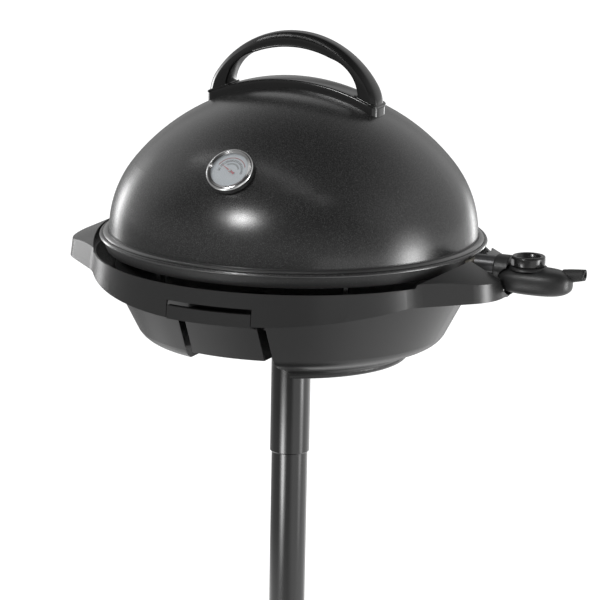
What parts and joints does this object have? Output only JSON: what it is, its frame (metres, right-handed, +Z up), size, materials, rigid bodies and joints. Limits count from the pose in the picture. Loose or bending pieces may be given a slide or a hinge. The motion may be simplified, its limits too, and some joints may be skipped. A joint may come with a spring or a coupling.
{
  "type": "electric grill",
  "caption": "Round electric pole grill with a lift-off domed lid, dial thermometer, ribbed plate, plug-in control and sliding drip tray on a weighted base.",
  "frame": {"origin": "on the floor under the pole's axis, in the underside of the rubber pad", "axes": "+Z up along the pole, -Y towards the drip tray's pull at the front, +X towards the temperature control"},
  "size_m": [0.65, 0.486, 0.97],
  "materials": {
    "lid_paint": "satin metallic charcoal paint",
    "ring_plastic": "fine matte texture",
    "bowl_plastic": "fine matte texture",
    "plate_coating": "speckled non-stick coating",
    "handle_plastic": "polished black",
    "control_plastic": "soft matte black",
    "knob_plastic": "polished black",
    "pointer_grey": "printed mark",
    "barrel_grey": "satin",
    "gland_rubber": "matte",
    "bezel_chrome": "polished",
    "dial_white": "printed dial",
    "dial_glass": "clear",
    "needle_red": "matte red",
    "plain_steel": "plain",
    "heater_sheath": "dull",
    "shield_sheet": "mill finish",
    "terminal_ceramic": "unglazed ceramic look",
    "contact_brass": "plain",
    "tube_paint": "satin black paint",
    "base_plastic": "fine matte texture",
    "iron_weight": "rough",
    "rubber_pad": "matte"
  },
  "bodies": {
    "stand": {"base_pad": "rubber_pad", "base_weight": "iron_weight", "base_cover": "base_plastic", "foot_socket": "plain_steel", "foot_screws": "plain_steel", "pole_collar": "base_plastic", "lower_tube": "tube_paint", "upper_tube": "tube_paint"},
    "grill_base": {"tray_ring": "ring_plastic", "bowl": "bowl_plastic", "tube_socket": "plain_steel", "socket_screws": "plain_steel", "heat_shield": "shield_sheet"},
    "cooking_plate": {"grill_plate": "plate_coating", "heating_element": "heater_sheath", "terminal_block": "terminal_ceramic", "terminal_pins": "plain_steel"},
    "lid": {"lid_shell": "lid_paint", "handle_saddle": "handle_plastic", "handle_grip": "handle_plastic", "handle_screws": "plain_steel", "thermometer_case": "plain_steel", "thermometer_bezel": "bezel_chrome", "thermometer_dial": "dial_white", "thermometer_glass": "dial_glass", "thermometer_arbor": "plain_steel", "thermometer_stem": "plain_steel", "thermometer_nut": "plain_steel"},
    "needle": {"thermometer_needle": "needle_red"},
    "control": {"control_barrel": "barrel_grey", "control_collar": "control_plastic", "control_upper_case": "control_plastic", "control_lower_case": "control_plastic", "contact_carrier": "terminal_ceramic", "contact_sleeves": "contact_brass", "control_probe": "plain_steel", "cable_gland": "gland_rubber", "control_screws": "plain_steel"},
    "knob": {"control_knob": "knob_plastic", "knob_pointer": "pointer_grey", "knob_spindle": "plain_steel"},
    "drip_drawer": {"drip_tray": "bowl_plastic", "tray_pull": "ring_plastic"}
  },
  "joints": [
    {"name": "head_lift", "type": "slide", "parent": "stand", "child": "grill_base", "axis": [0, 0, 1], "range_m": [0, 0.07]},
    {"name": "plate_lift", "type": "slide", "parent": "grill_base", "child": "cooking_plate", "axis": [0, 0, 1], "range_m": [0, 0.06]},
    {"name": "lid_lift", "type": "slide", "parent": "cooking_plate", "child": "lid", "axis": [0, 0, 1], "range_m": [0, 0.15]},
    {"name": "needle_turn", "type": "hinge", "parent": "lid", "child": "needle", "pos_m": [0, -0.17816, 0.82746], "axis": [0, -0.7254, 0.6884], "range_deg": [-130, 20], "stiffness_Nm_per_rad": 0.001},
    {"name": "control_unplug", "type": "slide", "parent": "cooking_plate", "child": "control", "axis": [1, 0, 0], "range_m": [0, 0.06]},
    {"name": "knob_turn", "type": "hinge", "parent": "control", "child": "knob", "pos_m": [0.3016, 0, 0.72], "axis": [0, 0, 1], "range_deg": [-270, 0]},
    {"name": "drip_drawer_slide", "type": "slide", "parent": "grill_base", "child": "drip_drawer", "axis": [0, -1, 0], "range_m": [0, 0.16]}
  ]
}
